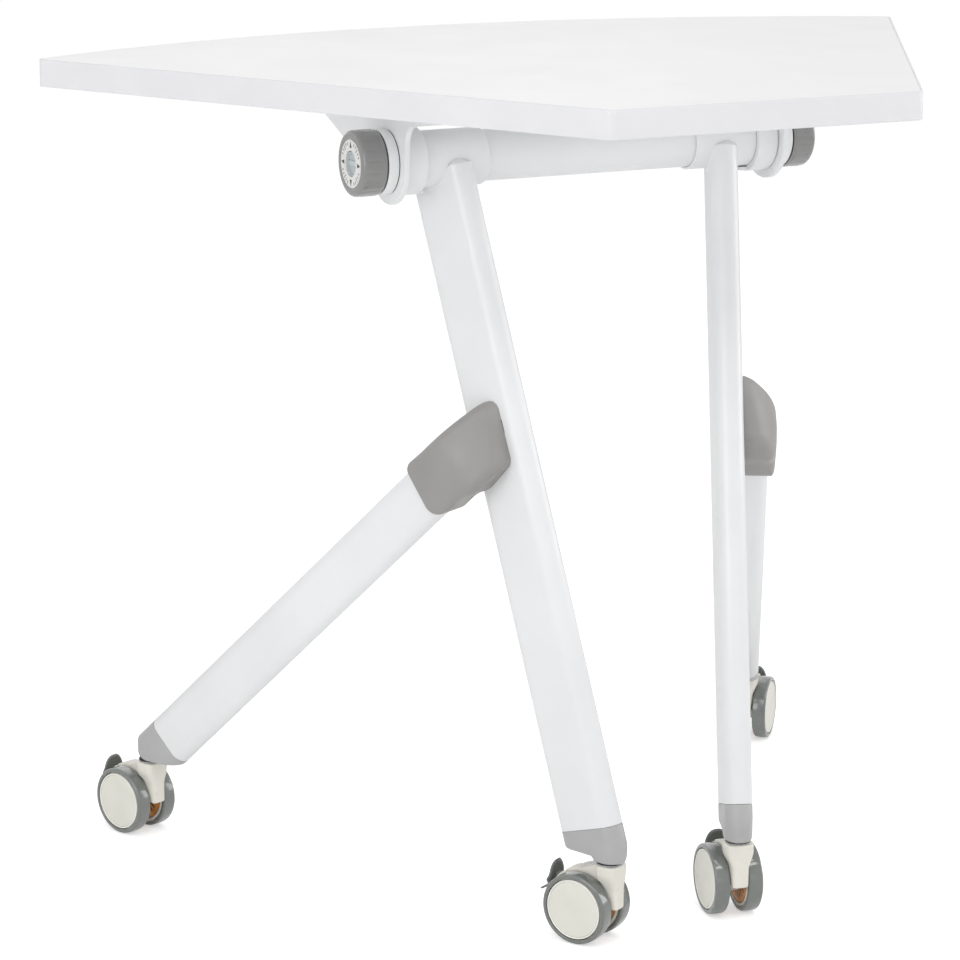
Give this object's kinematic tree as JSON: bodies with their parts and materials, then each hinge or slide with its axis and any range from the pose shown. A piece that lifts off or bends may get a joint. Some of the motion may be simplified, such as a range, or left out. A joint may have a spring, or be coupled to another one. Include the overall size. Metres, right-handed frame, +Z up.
{
  "type": "flip top training table",
  "caption": "Sector-shaped flip top table: white board on two brackets that turn about a round beam with clamp knobs, on forked oval legs with braked twin-wheel casters.",
  "frame": {"origin": "on the floor below the beam's axis, midway between the legs, which is within a millimetre of the middle of the overall box", "axes": "+Z up, X along the beam with +X to the right as seen from the short front edge, +Y from the short front edge to the round back edge"},
  "size_m": [0.874, 0.6373, 0.75],
  "materials": {
    "white_laminate": "matt white laminate on board",
    "white_edge_band": "white edge strip",
    "white_paint": "white powder coat, satin",
    "zinc_steel": "bright zinc",
    "knob_grey": "moulded, satin",
    "dial_white": "moulded, matt",
    "cover_grey": "moulded, fine texture",
    "ivory_nylon": "moulded, semi gloss",
    "cream_nylon": "moulded, semi gloss",
    "pedal_grey": "moulded, satin",
    "tread_grey": "smooth soft tread"
  },
  "bodies": {
    "base": {"beam_tube": "white_paint", "leg_sleeve_left": "white_paint", "leg_sleeve_right": "white_paint", "pivot_hub_left": "white_paint", "pivot_hub_right": "white_paint", "clamp_rod_left": "zinc_steel", "clamp_rod_right": "zinc_steel", "clamp_collar_left": "white_paint", "clamp_collar_right": "white_paint", "front_leg_left": "white_paint", "front_leg_right": "white_paint", "rear_leg_left": "white_paint", "rear_leg_right": "white_paint", "joint_cover_left": "cover_grey", "joint_cover_right": "cover_grey", "foot_cap_front_left": "cover_grey", "foot_cap_front_right": "cover_grey", "foot_cap_rear_left": "cover_grey", "foot_cap_rear_right": "cover_grey", "caster_stem_front_left": "zinc_steel", "caster_stem_front_right": "zinc_steel", "caster_stem_rear_left": "zinc_steel", "caster_stem_rear_right": "zinc_steel"},
    "top": {"top_panel": "white_laminate", "edge_band": "white_edge_band", "bracket_left": "white_paint", "bracket_right": "white_paint"},
    "knob_left": {"lock_knob_left": "knob_grey", "knob_dial_left": "dial_white"},
    "knob_right": {"lock_knob_right": "knob_grey", "knob_dial_right": "dial_white"},
    "caster_front_left": {"caster_hood_front_left": "ivory_nylon", "caster_axle_front_left": "zinc_steel"},
    "wheel_front_left_a": {"wheel_tread_front_left_a": "tread_grey", "wheel_core_front_left_a": "cream_nylon"},
    "wheel_front_left_b": {"wheel_tread_front_left_b": "tread_grey", "wheel_core_front_left_b": "cream_nylon"},
    "pedal_front_left": {"brake_pedal_front_left": "pedal_grey"},
    "caster_front_right": {"caster_hood_front_right": "ivory_nylon", "caster_axle_front_right": "zinc_steel"},
    "wheel_front_right_a": {"wheel_tread_front_right_a": "tread_grey", "wheel_core_front_right_a": "cream_nylon"},
    "wheel_front_right_b": {"wheel_tread_front_right_b": "tread_grey", "wheel_core_front_right_b": "cream_nylon"},
    "pedal_front_right": {"brake_pedal_front_right": "pedal_grey"},
    "caster_rear_left": {"caster_hood_rear_left": "ivory_nylon", "caster_axle_rear_left": "zinc_steel"},
    "wheel_rear_left_a": {"wheel_tread_rear_left_a": "tread_grey", "wheel_core_rear_left_a": "cream_nylon"},
    "wheel_rear_left_b": {"wheel_tread_rear_left_b": "tread_grey", "wheel_core_rear_left_b": "cream_nylon"},
    "pedal_rear_left": {"brake_pedal_rear_left": "pedal_grey"},
    "caster_rear_right": {"caster_hood_rear_right": "ivory_nylon", "caster_axle_rear_right": "zinc_steel"},
    "wheel_rear_right_a": {"wheel_tread_rear_right_a": "tread_grey", "wheel_core_rear_right_a": "cream_nylon"},
    "wheel_rear_right_b": {"wheel_tread_rear_right_b": "tread_grey", "wheel_core_rear_right_b": "cream_nylon"},
    "pedal_rear_right": {"brake_pedal_rear_right": "pedal_grey"}
  },
  "joints": [
    {"name": "top_flip", "type": "hinge", "parent": "base", "child": "top", "pos_m": [0, 0, 0.67], "axis": [1, 0, 0], "range_deg": [-90, 0]},
    {"name": "knob_turn_left", "type": "hinge", "parent": "base", "child": "knob_left", "pos_m": [-0.21, 0, 0.67], "axis": [-1, 0, 0], "range_deg": [0, 180]},
    {"name": "knob_turn_right", "type": "hinge", "parent": "base", "child": "knob_right", "pos_m": [0.21, 0, 0.67], "axis": [1, 0, 0], "range_deg": [0, 180]},
    {"name": "swivel_front_left", "type": "hinge", "parent": "base", "child": "caster_front_left", "pos_m": [-0.06433, -0.18729, 0.07], "axis": [0, 0, 1], "continuous": true},
    {"name": "roll_front_left_a", "type": "hinge", "parent": "caster_front_left", "child": "wheel_front_left_a", "pos_m": [-0.07583, -0.16737, 0.032], "axis": [-0.866, -0.5, 0], "continuous": true},
    {"name": "roll_front_left_b", "type": "hinge", "parent": "caster_front_left", "child": "wheel_front_left_b", "pos_m": [-0.07583, -0.16737, 0.032], "axis": [-0.866, -0.5, 0], "continuous": true},
    {"name": "brake_front_left", "type": "hinge", "parent": "caster_front_left", "child": "pedal_front_left", "pos_m": [-0.08795, -0.14637, 0.046], "axis": [-0.866, -0.5, 0], "range_deg": [0, 12]},
    {"name": "swivel_front_right", "type": "hinge", "parent": "base", "child": "caster_front_right", "pos_m": [0.06433, -0.18729, 0.07], "axis": [0, 0, 1], "continuous": true},
    {"name": "roll_front_right_a", "type": "hinge", "parent": "caster_front_right", "child": "wheel_front_right_a", "pos_m": [0.06832, -0.16464, 0.032], "axis": [-0.9848, 0.1736, 0], "continuous": true},
    {"name": "roll_front_right_b", "type": "hinge", "parent": "caster_front_right", "child": "wheel_front_right_b", "pos_m": [0.06832, -0.16464, 0.032], "axis": [-0.9848, 0.1736, 0], "continuous": true},
    {"name": "brake_front_right", "type": "hinge", "parent": "caster_front_right", "child": "pedal_front_right", "pos_m": [0.07253, -0.14076, 0.046], "axis": [-0.9848, 0.1736, 0], "range_deg": [0, 12]},
    {"name": "swivel_rear_left", "type": "hinge", "parent": "base", "child": "caster_rear_left", "pos_m": [-0.3263, 0.24825, 0.07], "axis": [0, 0, 1], "continuous": true},
    {"name": "roll_rear_left_a", "type": "hinge", "parent": "caster_rear_left", "child": "wheel_rear_left_a", "pos_m": [-0.33454, 0.26973, 0.032], "axis": [-0.9336, -0.3584, 0], "continuous": true},
    {"name": "roll_rear_left_b", "type": "hinge", "parent": "caster_rear_left", "child": "wheel_rear_left_b", "pos_m": [-0.33454, 0.26973, 0.032], "axis": [-0.9336, -0.3584, 0], "continuous": true},
    {"name": "brake_rear_left", "type": "hinge", "parent": "caster_rear_left", "child": "pedal_rear_left", "pos_m": [-0.34323, 0.29236, 0.046], "axis": [-0.9336, -0.3584, 0], "range_deg": [0, 12]},
    {"name": "swivel_rear_right", "type": "hinge", "parent": "base", "child": "caster_rear_right", "pos_m": [0.3263, 0.24825, 0.07], "axis": [0, 0, 1], "continuous": true},
    {"name": "roll_rear_right_a", "type": "hinge", "parent": "caster_rear_right", "child": "wheel_rear_right_a", "pos_m": [0.34169, 0.26535, 0.032], "axis": [-0.7431, 0.6691, 0], "continuous": true},
    {"name": "roll_rear_right_b", "type": "hinge", "parent": "caster_rear_right", "child": "wheel_rear_right_b", "pos_m": [0.34169, 0.26535, 0.032], "axis": [-0.7431, 0.6691, 0], "continuous": true},
    {"name": "brake_rear_right", "type": "hinge", "parent": "caster_rear_right", "child": "pedal_rear_right", "pos_m": [0.35791, 0.28337, 0.046], "axis": [-0.7431, 0.6691, 0], "range_deg": [0, 12]}
  ]
}
